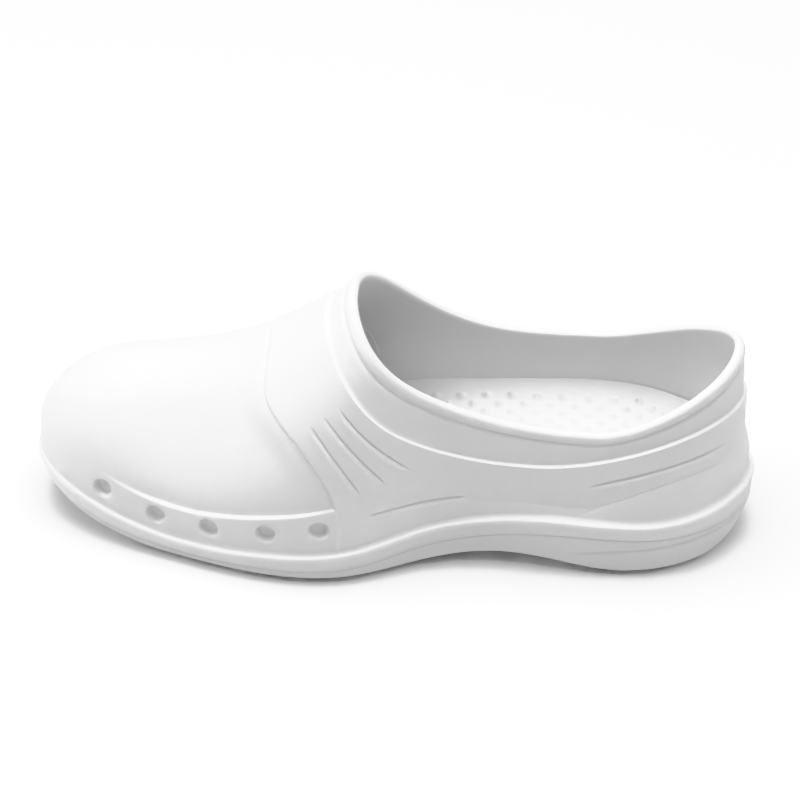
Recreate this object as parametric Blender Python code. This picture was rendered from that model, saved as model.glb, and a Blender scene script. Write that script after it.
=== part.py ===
"""Closed-back work slipper moulded in white foam, left shoe, built in Blender.

Sizes are in millimetres in the shoe's own frame: the heel's back is at x 0 and the toe
at x LENGTH, the wearer's left is +y. Heights are measured from the sole's border; the lugs
stand LUG_HEIGHT below it, on the floor. A section of the last is found by its turn, an angle
that runs from 0 at the heel's back to pi at the toe's tip, so that both ends of the outline
come out round.
"""
import math
from collections import namedtuple

import bmesh
import bpy
import numpy as np

NAME = "work_slipper"
METRE = 0.001
MERGE = 0.00001
CROWN_ANGLE = math.pi / 2.0
TURN_STEP = 1e-4

# Main sizes.
LENGTH = 285.0
WALL = 3.0
GAP = 0.3
LEDGE_LIP = 2.0
COUNTER_FLARE = 5.2
COUNTER_FADE = 3
HEEL_RADIUS = 27.8
TOE_RADIUS = 31.4

# The sections of the last. Place is a share of the length, half is half the width at the
# ledge and middle is how far the section's middle lies to the wearer's left. Ledge, seam,
# bed and crown are heights. Behind the throat the crown is where the walls would meet.
# Tuck is how far the tread's edge lies inside the ledge.
SECTION_COLUMNS = ("name", "place", "half", "middle", "ledge", "seam", "bed", "crown", "tuck")
SECTIONS = (
    ("back", 0.00, 0.0, 1.5, 25.0, 13.5, 22.0, 199.0, 3.2),
    ("heel", 0.14, 41.4, 2.5, 22.7, 15.3, 22.0, 122.6, 2.6),
    ("shank", 0.30, 41.3, 1.5, 22.8, 14.9, 23.0, 125.4, 2.2),
    ("waist", 0.46, 42.1, 3.5, 15.9, 7.4, 19.5, 121.3, 2.0),
    ("instep", 0.53, 47.8, 6.6, 12.8, 4.4, 16.7, 108.7, 1.9),
    ("ball", 0.64, 52.0, 5.8, 10.6, 3.3, 13.0, 84.4, 1.8),
    ("root", 0.79, 47.5, -0.3, 9.0, 2.6, 13.0, 65.5, 1.9),
    ("toe", 0.91, 36.3, -2.3, 15.6, 7.2, 15.0, 59.1, 2.8),
    ("tip", 1.00, 0.0, 0.0, 22.7, 14.4, 20.0, 31.3, 4.0),
)

# The border of the underside: two flats, and what rises between and beyond them. Lugs stand
# below it on the floor, set in from the border's edge.
HEEL_FLAT = (20.0, 48.0)
BALL_FLAT = (142.0, 230.0)
HEEL_ROLL = 7.0
ARCH_RISE = 4.2
TOE_SPRING = 11.0
ROLL_POWER = 1.6
LUG_HEIGHT = 2.4
LUG_SLOPE = 0.6

# Two edges that run round the foot opening: the collar itself and the line below it where
# the saddle begins. Front is where the edge crosses the crown, low_place and low where it
# is lowest, back its height at the heel.
EDGE_COLUMNS = ("name", "front", "low_place", "low", "back", "front_power", "back_power", "bow")
EDGES = (
    ("collar", 157.3, 64.0, 60.5, 81.1, 3.03, 1.29, 0.0),
    ("saddle", 169.0, 93.0, 44.4, 60.0, 2.30, 1.60, 0.8),
)

# The rim's profile from the saddle's edge over the bead and down inside. Share is a share
# of the way from the collar to the saddle's edge, drop is millimetres below the collar on
# top of that, out is millimetres proud of the wall.
RIM_COLUMNS = ("name", "share", "drop", "out")
RIM = (
    ("saddle edge", 1.0, 0.0, 0.0),
    ("band foot", 1.0, -1.4, -0.8),
    ("band", 0.6, 0.0, -0.9),
    ("crease", 0.0, 5.0, -0.9),
    ("bead low", 0.0, 4.2, -0.3),
    ("bead side", 0.0, 2.8, 0.4),
    ("bead shoulder", 0.0, 1.2, 0.3),
    ("bead top outer", 0.0, 0.1, -0.7),
    ("bead top inner", 0.0, 0.1, -2.4),
    ("bead inner shoulder", 0.0, 1.0, -3.5),
    ("bead inner side", 0.0, 3.0, -3.8),
    ("inner band", 0.5, 0.0, -3.6),
    ("inner saddle", 1.0, 0.0, -WALL),
)

# Heights above the ledge of the line that tops the heel counter, then the vent band.
LOW_LINE_COLUMNS = ("place", "height")
LOW_LINE = (
    (0.0, 19.0),
    (6.5, 18.5),
    (23.0, 18.8),
    (39.0, 16.8),
    (54.0, 10.4),
    (63.5, 5.5),
    (74.0, 4.2),
    (110.0, 8.0),
    (161.0, 20.3),
    (177.0, 18.1),
    (197.0, 15.7),
    (217.0, 14.0),
    (240.0, 13.9),
    (255.0, 15.0),
    (285.0, 15.5),
)
LOW_LINE_STEP = 1.6
TOE_CAP_RECESS = 0.7
CAP_FADE_START = 236.0
CAP_FADE_RUN = 32.0

# The foot of the wall: how far each ring lies inside the ledge and above it.
LEDGE_COLUMNS = ("inset", "rise")
LEDGE_PROFILE = (
    (0.4, -3.2),
    (0.0, -1.6),
    (0.5, -0.3),
    (1.5, 0.2),
)
SEAM_TUCK = 1.8
WALL_FOOT = 1.5
INNER_FOOT = 2.4

# Rows of the mesh run from the ledge up the wall. Each row named here stands at a place on
# the ledge and ends at a place on the crown; the count is of rows from the one before.
ROW_COLUMNS = ("name", "foot", "head", "count")
ROWS = (
    ("saddle front", 146.0, 169.0, 22),
    ("saddle edge", 159.2, 190.2, 3),
    ("toe cap edge", 161.0, 192.0, 1),
    ("toe tip", LENGTH, LENGTH, 16),
)
Row = namedtuple("Row", ("foot", "head", "head_angle", "swept"))

# How the rows are divided. No low line climbs above LINE_TOP of its row or lies nearer than
# LINE_SPREAD, an angle, to the next one, and the inner wall ends by INNER_LOW of its row.
MIDDLE_COLUMNS = 6
INNER_COLUMNS = 6
BED_STRIPS = 6
EDGE_SAMPLES = 240
OUTLINE_SAMPLES = 2001
LINE_TOP = 0.75
LINE_SPREAD = 0.02
INNER_LOW = 0.8

# How the rows lean forward between the ledge and the crown, and the share of the opening
# from which they begin to.
SWEEP_START = 0.08
SWEEP_RUN = 0.62
SWEEP_FROM = 0.6

# Blind round vents along each side: section and height above the ledge.
VENT_COLUMNS = ("place", "height")
VENTS = ((167.3, 10.5), (188.4, 9.8), (211.5, 8.2), (233.2, 7.6), (255.2, 8.0))
VENT_RADIUS = 4.2
VENT_DEPTH = 2.2
VENT_SIDES = 20

# Grooves pressed into the saddle: the places of head, middle and tail along the shoe and
# their heights.
GROOVE_COLUMNS = ("name", "head", "middle", "tail", "radius")
GROOVES = (
    ("front claw", (172.3, 64.2), (162.3, 50.8), (150.6, 35.5), 1.9),
    ("middle claw", (166.8, 68.2), (153.4, 51.3), (141.1, 38.5), 1.9),
    ("rear claw", (160.1, 70.5), (147.8, 57.0), (131.6, 44.0), 1.9),
    ("waist line", (150.6, 25.8), (128.8, 28.5), (109.5, 31.3), 1.7),
    ("heel line", (68.2, 37.3), (40.0, 46.8), (14.0, 50.4), 1.7),
)
GROOVE_DEPTH = 1.0
GROOVE_TIP = 0.25
GROOVE_EASE = 0.7
GROOVE_STEPS = 9

# The outsole's side and tread.
RIB_COLUMNS = ("place", "height")
HEEL_RIB = ((0.0, 11.0), (19.0, 11.6), (38.0, 11.0), (58.0, 9.3), (76.0, 6.4))
RIB_SHARE = (0.45, 0.8)
RIB_STEP = 0.6
RIB_EDGE = 0.3
RIB_END = 76.0
RIB_FADE = 12.0
TREAD_CHAMFER = 0.9
TREAD_BORDER = 12.0
BAR_OVERHANG = 1.5
CHANNEL_WIDTH = 4.0
CHANNEL_PITCH = 12.0
CHANNEL_COLUMNS = ("name", "start", "count", "depth")
CHANNELS = (
    ("ball channels", 150.0, 7, 2.2),
    ("heel channels", 28.0, 3, 2.2),
)

# The insole: thickness at its middle and how far its edge is cupped up, lateral and medial.
INSOLE_COLUMNS = ("place", "thick", "lateral_cup", "medial_cup")
INSOLE = (
    (0.00, 5.0, 6.0, 6.0),
    (0.14, 5.0, 6.5, 6.5),
    (0.30, 5.0, 6.0, 8.0),
    (0.46, 5.0, 4.0, 8.0),
    (0.64, 5.0, 1.5, 2.5),
    (0.79, 4.5, 0.8, 0.8),
    (1.00, 4.0, 0.5, 0.5),
)
INSOLE_CLEAR = 1.2
CUP_REACH = 30.0
INSOLE_STRIPS = 10

# Materials: colour, roughness.
WHITE_FOAM = ((0.83, 0.83, 0.83, 1.0), 0.55)
WHITE_RUBBER = ((0.80, 0.80, 0.80, 1.0), 0.60)
PALE_FOOTBED = ((0.78, 0.78, 0.78, 1.0), 0.65)


def column(table, names, name):
    """One named column of a table as an array."""
    return np.array([row[names.index(name)] for row in table])


def table_at(table, names, name, place):
    """A named column read off at a place; the table's first column is where its rows stand."""
    return np.interp(place, column(table, names, names[0]), column(table, names, name))


def named_rows(table, names):
    """The rows of a table as dictionaries keyed by its column names."""
    return [dict(zip(names, row)) for row in table]


def turn_at(x):
    """The turn of the section that stands at x along the shoe."""
    return np.arccos(np.clip(1.0 - 2.0 * np.asarray(x, float) / LENGTH, -1.0, 1.0))


def place_at(turn):
    """How far along the shoe the section at a turn stands."""
    return LENGTH * (1.0 - np.cos(turn)) / 2.0


def smooth(t):
    """An S-shaped rise from 0 to 1."""
    t = np.clip(t, 0.0, 1.0)
    return t * t * (3.0 - 2.0 * t)


def spline(knots, values, free_end=False):
    """A cubic spline through a few knots, level at both ends unless its end is free."""
    count = len(knots)
    gap = np.diff(knots)
    slope = np.diff(values) / gap
    slopes = np.concatenate([[0.0], slope, [0.0]])
    gaps = np.concatenate([[0.0], gap, [0.0]])
    matrix = np.diag(2.0 * (gaps[:-1] + gaps[1:])) + np.diag(gap, 1) + np.diag(gap, -1)
    right = 6.0 * np.diff(slopes)
    if free_end:
        matrix[-1] = np.eye(count)[-1]
        right[-1] = 0.0
    bend = np.linalg.solve(matrix, right)

    def curve(at):
        i = np.clip(np.searchsorted(knots, at) - 1, 0, count - 2)
        after = at - knots[i]
        before = knots[i + 1] - at
        cubic = (bend[i] * before ** 3 + bend[i + 1] * after ** 3) / (6.0 * gap[i])
        left = (values[i] / gap[i] - bend[i] * gap[i] / 6.0) * before
        return cubic + left + (values[i + 1] / gap[i] - bend[i + 1] * gap[i] / 6.0) * after

    return curve


SECTION_TURNS = turn_at(column(SECTIONS, SECTION_COLUMNS, "place") * LENGTH)


def along_sections(name, free_end=False):
    """A smooth curve over the turn through one column of the sections."""
    return spline(SECTION_TURNS, column(SECTIONS, SECTION_COLUMNS, name), free_end)


def fullness_curve():
    """Half width over the sine of the turn; at the ends the nose radius sets it."""
    half = column(SECTIONS, SECTION_COLUMNS, "half")
    fullness = np.empty(len(half))
    fullness[1:-1] = half[1:-1] / np.sin(SECTION_TURNS[1:-1])
    fullness[0] = math.sqrt(HEEL_RADIUS * LENGTH / 2.0)
    fullness[-1] = math.sqrt(TOE_RADIUS * LENGTH / 2.0)
    return spline(SECTION_TURNS, fullness)


fullness_at = fullness_curve()
middle_at = along_sections("middle")
ledge_at = along_sections("ledge")
seam_at = along_sections("seam")
bed_at = along_sections("bed")
crown_at = along_sections("crown", free_end=True)
tuck_at = along_sections("tuck")


def tread_at(x):
    """Height of the underside's border above its flats."""
    heel = np.clip((HEEL_FLAT[0] - x) / HEEL_FLAT[0], 0.0, 1.0) ** ROLL_POWER
    toe = np.clip((x - BALL_FLAT[1]) / (LENGTH - BALL_FLAT[1]), 0.0, 1.0) ** ROLL_POWER
    span = np.clip((x - HEEL_FLAT[1]) / (BALL_FLAT[0] - HEEL_FLAT[1]), 0.0, 1.0)
    return HEEL_ROLL * heel + TOE_SPRING * toe + ARCH_RISE * np.sin(math.pi * span) ** 2


def outline(side, turn, inset):
    """Plan of the ledge moved in along its own normal; side is +1 lateral, -1 medial."""

    def edge(at):
        return side * fullness_at(at) * np.sin(at) + middle_at(at)

    run_x = LENGTH / 2.0 * np.sin(turn)
    run_y = (edge(turn + TURN_STEP) - edge(turn - TURN_STEP)) / (2.0 * TURN_STEP)
    size = np.hypot(run_x, run_y)
    return place_at(turn) + inset * side * run_y / size, edge(turn) - inset * side * run_x / size


def heel_share(turn):
    """1 at the heel's back, falling to nothing by the waist."""
    return ((1.0 + np.cos(turn)) / 2.0) ** COUNTER_FADE


def wall_base(side, turn, angle):
    """The plain wall: each section is a quarter ellipse from the ledge to the crown."""
    inset = LEDGE_LIP + COUNTER_FLARE * heel_share(turn)
    base_x, base_y = outline(side, turn, inset)
    crown_x = place_at(turn) + inset * np.cos(turn)
    middle = middle_at(turn)
    rise = crown_at(turn) - ledge_at(turn)
    return np.array([
        crown_x + (base_x - crown_x) * np.cos(angle),
        middle + (base_y - middle) * np.cos(angle),
        ledge_at(turn) + rise * np.sin(angle),
    ])


def wall_normal(side, turn, angle):
    """Outward normal of the plain wall."""
    along = wall_base(side, turn + TURN_STEP, angle) - wall_base(side, turn - TURN_STEP, angle)
    up = wall_base(side, turn, angle + TURN_STEP) - wall_base(side, turn, angle - TURN_STEP)
    if angle > CROWN_ANGLE - TURN_STEP:
        normal = np.array([-along[2], 0.0, along[0]])
    else:
        normal = side * np.cross(up, along)
    return normal / np.linalg.norm(normal)


def angle_at(turn, height):
    """The section angle at which the wall reaches a height."""
    rise = crown_at(turn) - ledge_at(turn)
    return np.arcsin(np.clip((height - ledge_at(turn)) / rise, 0.0, 1.0))


def low_line_at(x):
    """Height above the ledge of the counter's top and of the vent band's top."""
    return table_at(LOW_LINE, LOW_LINE_COLUMNS, "height", x)


def sweep(share):
    """How the slanted rows lean forward as they climb."""
    return smooth((share - SWEEP_START) / SWEEP_RUN)


def relief(turn, angle):
    """How far the counter stands out from the wall and the toe cap lies below it."""
    x = place_at(turn)
    height = (crown_at(turn) - ledge_at(turn)) * np.sin(angle)
    flare = COUNTER_FLARE * heel_share(turn) * np.clip(1.0 - height / low_line_at(x), 0.0, 1.0)
    saddle_edge, cap_edge = named_rows(ROWS, ROW_COLUMNS)[1:3]
    lean = sweep(angle / CROWN_ANGLE)
    behind = saddle_edge["foot"] + (saddle_edge["head"] - saddle_edge["foot"]) * lean
    ahead = cap_edge["foot"] + (cap_edge["head"] - cap_edge["foot"]) * lean
    past_edge = smooth((x - behind) / (ahead - behind))
    above_vents = smooth((height - low_line_at(x)) / LOW_LINE_STEP + 0.5)
    before_tip = 1.0 - smooth((x - CAP_FADE_START) / CAP_FADE_RUN)
    return flare - TOE_CAP_RECESS * past_edge * above_vents * before_tip


def wall_point(side, turn, angle, out):
    """A point of the wall moved out along its normal."""
    return wall_base(side, turn, angle) + wall_normal(side, turn, angle) * out


def edge_curve(edge_name):
    """Samples of an edge round the opening, heel to crown: length share, turn, angle."""
    edge = next(row for row in named_rows(EDGES, EDGE_COLUMNS) if row["name"] == edge_name)
    front_turn = turn_at(edge["front"])
    turns = front_turn * (1.0 - (1.0 - np.linspace(0.0, 1.0, EDGE_SAMPLES)) ** 2)
    x = place_at(turns)
    climb = np.clip((x - edge["low_place"]) / (edge["front"] - edge["low_place"]), 0.0, 1.0)
    drop = np.clip((edge["low_place"] - x) / edge["low_place"], 0.0, 1.0)
    heights = edge["low"] + (crown_at(front_turn) - edge["low"]) * climb ** edge["front_power"]
    bowed = drop * (1.0 + edge["bow"] * (1.0 - drop))
    heights += (edge["back"] - edge["low"]) * bowed ** edge["back_power"]
    angles = angle_at(turns, np.minimum(heights, crown_at(turns)))
    angles[-1] = CROWN_ANGLE
    points = np.array([wall_base(1, turn, angle) for turn, angle in zip(turns, angles)])
    lengths = np.concatenate([[0.0], np.cumsum(np.linalg.norm(np.diff(points, axis=0), axis=1))])
    return lengths / lengths[-1], turns, angles


def edge_at(samples, share):
    """Turn and angle of an edge a share of its length from the heel."""
    return np.interp(share, samples[0], samples[1]), np.interp(share, samples[0], samples[2])


COLLAR = edge_curve("collar")
SADDLE = edge_curve("saddle")


def row_list():
    """The turns of each row's foot and head, its head's angle and how far it is swept."""
    front, *ahead = named_rows(ROWS, ROW_COLUMNS)
    foot, head = turn_at(front["foot"]), turn_at(front["head"])
    rows = []
    for i in range(OPENING_ROWS + 1):
        share = i / OPENING_ROWS
        head_turn, head_angle = edge_at(SADDLE, share)
        swept = smooth((share - SWEEP_FROM) / (1.0 - SWEEP_FROM))
        rows.append(Row(head_turn * foot / head, head_turn, head_angle, swept))
    for stop in ahead:
        next_foot, next_head = turn_at(stop["foot"]), turn_at(stop["head"])
        for i in range(1, stop["count"] + 1):
            share = i / stop["count"]
            row_foot = foot + (next_foot - foot) * share
            row_head = head + (next_head - head) * share
            rows.append(Row(row_foot, row_head, CROWN_ANGLE, 1.0))
        foot, head = next_foot, next_head
    return rows


OPENING_ROWS = named_rows(ROWS, ROW_COLUMNS)[0]["count"]
ROW_LIST = row_list()


def on_row(row, angle):
    """The turn of a row at an angle; ahead of the opening rows sweep like the toe cap's edge."""
    share = angle / row.head_angle
    if row.swept > 0.0:
        leaning = sweep(angle / CROWN_ANGLE) / sweep(row.head_angle / CROWN_ANGLE)
        share += (leaning - share) * row.swept
    return row.foot + (row.head - row.foot) * share


def rim_point(side, share, rim_row):
    """A point of the rim's profile a share of the way round from heel to crown."""
    collar_turn, collar_angle = edge_at(COLLAR, share)
    saddle_turn, saddle_angle = edge_at(SADDLE, share)
    run = wall_base(side, saddle_turn, saddle_angle) - wall_base(side, collar_turn, collar_angle)
    down = rim_row["share"] + rim_row["drop"] / np.linalg.norm(run)
    turn = collar_turn + (saddle_turn - collar_turn) * down
    angle = min(collar_angle + (saddle_angle - collar_angle) * down, CROWN_ANGLE)
    return wall_point(side, turn, angle, rim_row["out"])


def outer_row(side, row):
    """Points of the outer wall from the seam to the row's head."""
    foot = row.foot
    points = [(*outline(side, foot, SEAM_TUCK), seam_at(foot))]
    for ring in named_rows(LEDGE_PROFILE, LEDGE_COLUMNS):
        points.append((*outline(side, foot, ring["inset"]), ledge_at(foot) + ring["rise"]))
    foot_angle = angle_at(foot, ledge_at(foot) + WALL_FOOT)
    line = ledge_at(foot) + low_line_at(place_at(foot))
    highest = LINE_TOP * row.head_angle
    below = min(angle_at(foot, line - LOW_LINE_STEP / 2.0), highest - 3.0 * LINE_SPREAD)
    above = min(angle_at(foot, line + LOW_LINE_STEP / 2.0), highest)
    below = max(below, foot_angle + LINE_SPREAD)
    above = max(above, foot_angle + 2.0 * LINE_SPREAD)
    angles = [foot_angle, below, *np.linspace(above, row.head_angle, MIDDLE_COLUMNS + 1)]
    for angle in angles:
        turn = on_row(row, angle)
        points.append(wall_point(side, turn, angle, relief(turn, angle)))
    return points


def inner_row(side, row):
    """Points of the inner wall from the row's head down to the bed."""
    foot = row.foot
    bed_height = bed_at(foot)
    low_angle = angle_at(foot, max(bed_height, ledge_at(foot)) + INNER_FOOT)
    low_angle = min(low_angle, INNER_LOW * row.head_angle)
    points = []
    for angle in np.linspace(row.head_angle, low_angle, INNER_COLUMNS):
        points.append(wall_point(side, on_row(row, angle), angle, -WALL))
    inset = LEDGE_LIP + COUNTER_FLARE * heel_share(foot) + WALL
    points.append((*outline(side, foot, inset), bed_height))
    return points


def across(left, right, strips):
    """Points on a straight line between two points."""
    left = np.asarray(left)
    run = np.asarray(right) - left
    return [left + run * i / strips for i in range(strips + 1)]


def shoe_middle():
    """How far the widest points' middle lies to the wearer's left."""
    turns = np.linspace(0.0, math.pi, OUTLINE_SAMPLES)
    return (np.max(outline(1, turns, 0.0)[1]) + np.min(outline(-1, turns, 0.0)[1])) / 2.0


CENTRE = np.array([LENGTH / 2.0, shoe_middle(), -LUG_HEIGHT])


def add_patch(mesh, rows):
    """Quads over a grid of points."""
    verts = [[mesh.verts.new((np.asarray(point) - CENTRE) * METRE) for point in row] for row in rows]
    for lower, upper in zip(verts[:-1], verts[1:]):
        for i in range(len(lower) - 1):
            mesh.faces.new((lower[i], lower[i + 1], upper[i + 1], upper[i]))


def material(name, look):
    """A plain Principled material."""
    made = bpy.data.materials.new(name)
    made.use_nodes = True
    shader = made.node_tree.nodes["Principled BSDF"]
    shader.inputs["Base Color"].default_value = look[0]
    shader.inputs["Roughness"].default_value = look[1]
    shader.inputs["Metallic"].default_value = 0.0
    made.diffuse_color = look[0]
    return made


def finish_piece(mesh, name, look, parts, root):
    """Weld the patches into one closed solid, and name, colour and place it."""
    bmesh.ops.remove_doubles(mesh, verts=mesh.verts, dist=MERGE)
    bmesh.ops.recalc_face_normals(mesh, faces=mesh.faces)
    if mesh.calc_volume(signed=True) < 0.0:
        bmesh.ops.reverse_faces(mesh, faces=mesh.faces)
    data = bpy.data.meshes.new(name)
    mesh.to_mesh(data)
    mesh.free()
    piece = bpy.data.objects.new(name, data)
    data.materials.append(material(name, look))
    data.shade_smooth()
    parts.objects.link(piece)
    piece.parent = root
    return piece


def build_upper(parts, root):
    """The hollow moulding: outer wall, rim, inner wall, bed and underside."""
    mesh = bmesh.new()
    for side in (1, -1):
        add_patch(mesh, [outer_row(side, row) for row in ROW_LIST])
        add_patch(mesh, [inner_row(side, row) for row in ROW_LIST])
        shares = [i / OPENING_ROWS for i in range(OPENING_ROWS + 1)]
        rim = named_rows(RIM, RIM_COLUMNS)
        add_patch(mesh, [[rim_point(side, share, rim_row) for rim_row in rim] for share in shares])
    lateral = [(outer_row(1, row)[0], inner_row(1, row)[-1]) for row in ROW_LIST]
    medial = [(outer_row(-1, row)[0], inner_row(-1, row)[-1]) for row in ROW_LIST]
    for level in (0, 1):
        add_patch(mesh, [across(a[level], b[level], BED_STRIPS) for a, b in zip(lateral, medial)])
    return finish_piece(mesh, "upper_with_midsole", WHITE_FOAM, parts, root)


def outsole_row(side, turn):
    """Points of the outsole from its top edge down its side and under its border to the lugs."""
    x = place_at(turn)
    top = seam_at(turn) - GAP
    tuck = tuck_at(turn)
    edge = outline(side, turn, tuck + TREAD_CHAMFER)
    lug_head = outline(side, turn, tuck + TREAD_BORDER)
    lug_foot = outline(side, turn, tuck + TREAD_BORDER + LUG_SLOPE)
    bottom = tread_at(edge[0])
    rib = table_at(HEEL_RIB, RIB_COLUMNS, "height", x)
    rib = bottom + (top - bottom) * np.clip((rib - bottom) / (top - bottom), *RIB_SHARE)
    step = RIB_STEP * smooth((RIB_END - x) / RIB_FADE)
    lean = SEAM_TUCK + (tuck - SEAM_TUCK) * (top - rib) / (top - bottom)
    return [
        (*outline(side, turn, SEAM_TUCK), top),
        (*outline(side, turn, lean - step / 2.0), rib + RIB_EDGE),
        (*outline(side, turn, lean + step / 2.0), rib - RIB_EDGE),
        (*outline(side, turn, tuck), bottom + TREAD_CHAMFER),
        (*edge, bottom),
        (*lug_head, tread_at(lug_head[0])),
        (*lug_foot, tread_at(lug_foot[0]) - LUG_HEIGHT),
    ]


def cutter(name, data, cutters, root):
    """An object that only cuts others."""
    tool = bpy.data.objects.new(name, data)
    cutters.objects.link(tool)
    tool.parent = root
    tool.hide_render = True
    tool.display_type = "WIRE"
    return tool


def cut(piece, tool):
    """Take one object's shape out of a piece."""
    boolean = piece.modifiers.new(tool.name, "BOOLEAN")
    boolean.operation = "DIFFERENCE"
    boolean.solver = "EXACT"
    boolean.object = tool


def channel_cutter(channels, cutters, root):
    """A row of bars that cut straight channels between the lugs, under the border."""
    mesh = bmesh.new()
    inset = TREAD_BORDER - BAR_OVERHANG
    for i in range(channels["count"]):
        start = channels["start"] + CHANNEL_PITCH * i
        ends = turn_at(np.array([start, start + CHANNEL_WIDTH]))
        left = np.min(outline(1, ends, tuck_at(ends) + inset)[1])
        right = np.max(outline(-1, ends, tuck_at(ends) + inset)[1])
        bar = bmesh.ops.create_cube(mesh, size=METRE)["verts"]
        size = (CHANNEL_WIDTH, left - right, 2.0 * channels["depth"])
        bmesh.ops.scale(mesh, verts=bar, vec=size)
        middle = np.array([start + CHANNEL_WIDTH / 2.0, (left + right) / 2.0, -LUG_HEIGHT])
        bmesh.ops.translate(mesh, verts=bar, vec=(middle - CENTRE) * METRE)
    data = bpy.data.meshes.new(channels["name"])
    mesh.to_mesh(data)
    mesh.free()
    return cutter(channels["name"], data, cutters, root)


def build_outsole(parts, cutters, root):
    """The outsole with its tread channels."""
    mesh = bmesh.new()
    turns = [row.foot for row in ROW_LIST]
    sides = {side: [outsole_row(side, turn) for turn in turns] for side in (1, -1)}
    for rows in sides.values():
        add_patch(mesh, rows)
    for level in (0, -1):
        add_patch(mesh, [across(a[level], b[level], BED_STRIPS) for a, b in zip(sides[1], sides[-1])])
    piece = finish_piece(mesh, "outsole", WHITE_RUBBER, parts, root)
    for channels in named_rows(CHANNELS, CHANNEL_COLUMNS):
        cut(piece, channel_cutter(channels, cutters, root))


def insole_row(turn):
    """One cross section of the insole: points of its top and of its underside."""
    inset = LEDGE_LIP + COUNTER_FLARE * heel_share(turn) + WALL + INSOLE_CLEAR
    share = place_at(turn) / LENGTH
    thick = table_at(INSOLE, INSOLE_COLUMNS, "thick", share)
    lateral = table_at(INSOLE, INSOLE_COLUMNS, "lateral_cup", share)
    medial = table_at(INSOLE, INSOLE_COLUMNS, "medial_cup", share)
    left = np.array([*outline(1, turn, inset), bed_at(turn) + GAP])
    right = np.array([*outline(-1, turn, inset), bed_at(turn) + GAP])
    half = np.linalg.norm(left - right) / 2.0
    under = across(left, right, INSOLE_STRIPS)
    top = []
    for i, point in enumerate(under):
        off_middle = 1.0 - 2.0 * i / INSOLE_STRIPS
        rise = smooth((off_middle + 1.0) / 2.0) * (lateral - medial) + medial
        from_edge = half * (1.0 - abs(off_middle))
        cup = rise * max(1.0 - from_edge / CUP_REACH, 0.0) ** 2
        top.append(point + np.array([0.0, 0.0, thick + cup]))
    return top, under


def build_insole(parts, root):
    """The loose footbed that lies on the bed."""
    mesh = bmesh.new()
    rows = [insole_row(row.foot) for row in ROW_LIST]
    add_patch(mesh, [top for top, under in rows])
    add_patch(mesh, [under for top, under in rows])
    for end in (0, -1):
        add_patch(mesh, [(top[end], under[end]) for top, under in rows])
    finish_piece(mesh, "insole", PALE_FOOTBED, parts, root)


def vent_cutter(side, vent, cutters, root):
    """A short round bar standing square to the wall, sunk in by the vent's depth."""
    turn = turn_at(vent["place"])
    angle = angle_at(turn, ledge_at(turn) + vent["height"])
    centre = wall_point(side, turn, angle, relief(turn, angle))
    normal = wall_normal(side, turn, angle)
    name = "vent {} {}".format("lateral" if side > 0 else "medial", round(vent["place"]))
    mesh = bmesh.new()
    bmesh.ops.create_cone(mesh, cap_ends=True, segments=VENT_SIDES, radius1=VENT_RADIUS * METRE,
                          radius2=VENT_RADIUS * METRE, depth=2.0 * VENT_DEPTH * METRE)
    data = bpy.data.meshes.new(name)
    mesh.to_mesh(data)
    mesh.free()
    bar = cutter(name, data, cutters, root)
    bar.location = (centre - CENTRE) * METRE
    flat = math.hypot(normal[0], normal[1])
    bar.rotation_euler = (0.0, math.atan2(flat, normal[2]), math.atan2(normal[1], normal[0]))
    return bar


def on_parabola(points, share):
    """The point a share of the way along a parabola through three points."""
    start = (1.0 - share) * (1.0 - 2.0 * share)
    middle = 4.0 * share * (1.0 - share)
    end = share * (2.0 * share - 1.0)
    return start * points[0] + middle * points[1] + end * points[2]


def groove_cutter(side, groove, cutters, root):
    """A tapered bar swept along a groove; it leaves the wall at both ends."""
    name = "{} {}".format(groove["name"], "lateral" if side > 0 else "medial")
    path = bpy.data.curves.new(name, "CURVE")
    path.dimensions = "3D"
    path.bevel_depth = METRE
    path.bevel_resolution = 1
    path.use_fill_caps = True
    line = path.splines.new("POLY")
    line.points.add(GROOVE_STEPS - 1)
    ends = np.array([groove["head"], groove["middle"], groove["tail"]])
    for i in range(GROOVE_STEPS):
        share = i / (GROOVE_STEPS - 1)
        place, height = on_parabola(ends, share)
        turn = turn_at(place)
        angle = angle_at(turn, height)
        swell = math.sin(math.pi * share)
        radius = groove["radius"] * (GROOVE_TIP + (1.0 - GROOVE_TIP) * swell)
        lift = radius - GROOVE_DEPTH * swell ** GROOVE_EASE
        point = wall_point(side, turn, angle, relief(turn, angle) + lift)
        line.points[i].co = (*((point - CENTRE) * METRE), 1.0)
        line.points[i].radius = radius
    swept = bpy.data.objects.new(name, path)
    cutters.objects.link(swept)
    data = bpy.data.meshes.new_from_object(swept.evaluated_get(bpy.context.evaluated_depsgraph_get()))
    bpy.data.objects.remove(swept)
    return cutter(name, data, cutters, root)


def build():
    """Clear the scene and put the slipper together."""
    for old in list(bpy.data.objects):
        bpy.data.objects.remove(old)
    parts = bpy.data.collections.new(NAME)
    cutters = bpy.data.collections.new("cutters")
    for group in (parts, cutters):
        bpy.context.scene.collection.children.link(group)
    root = bpy.data.objects.new(NAME, None)
    parts.objects.link(root)
    upper = build_upper(parts, root)
    for side in (1, -1):
        for vent in named_rows(VENTS, VENT_COLUMNS):
            cut(upper, vent_cutter(side, vent, cutters, root))
        for groove in named_rows(GROOVES, GROOVE_COLUMNS):
            cut(upper, groove_cutter(side, groove, cutters, root))
    build_outsole(parts, cutters, root)
    build_insole(parts, root)


build()
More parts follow.
